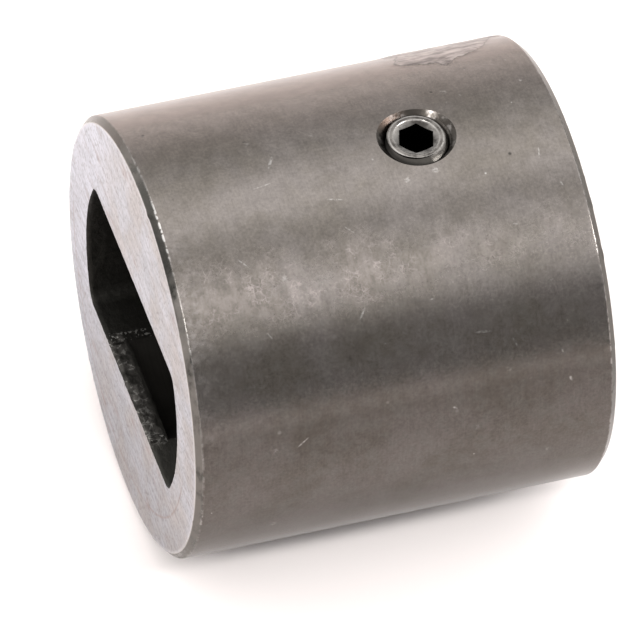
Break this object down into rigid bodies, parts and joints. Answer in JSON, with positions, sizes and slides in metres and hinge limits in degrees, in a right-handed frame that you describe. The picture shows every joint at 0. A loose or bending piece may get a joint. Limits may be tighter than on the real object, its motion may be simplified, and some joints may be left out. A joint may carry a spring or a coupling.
{
  "type": "sleeve coupling",
  "caption": "Rigid steel sleeve coupling with a double-D drive socket at one end, a round shaft bore at the other and a hex-socket set screw.",
  "frame": {"origin": "middle of the sleeve's axis, which is the middle of its bounding box", "axes": "+X along the sleeve's axis from the double-D socket's end to the shaft bore's end; +Z out through the set screw; the sleeve lies on its side on -Z"},
  "size_m": [0.0386, 0.04, 0.04],
  "materials": {
    "sleeve_steel": "turned steel with a worn, semi-gloss dark oxide skin, bright machined socket end face",
    "screw_steel": "black oxide hardened steel, worn bright on its rim"
  },
  "bodies": {
    "sleeve": {"sleeve": "sleeve_steel"},
    "set_screw": {"set_screw": "screw_steel"}
  },
  "joints": [
    {"name": "set_screw_travel", "type": "slide", "parent": "sleeve", "child": "set_screw", "axis": [0, 0, 1], "range_m": [-0.003, 0.009]}
  ]
}
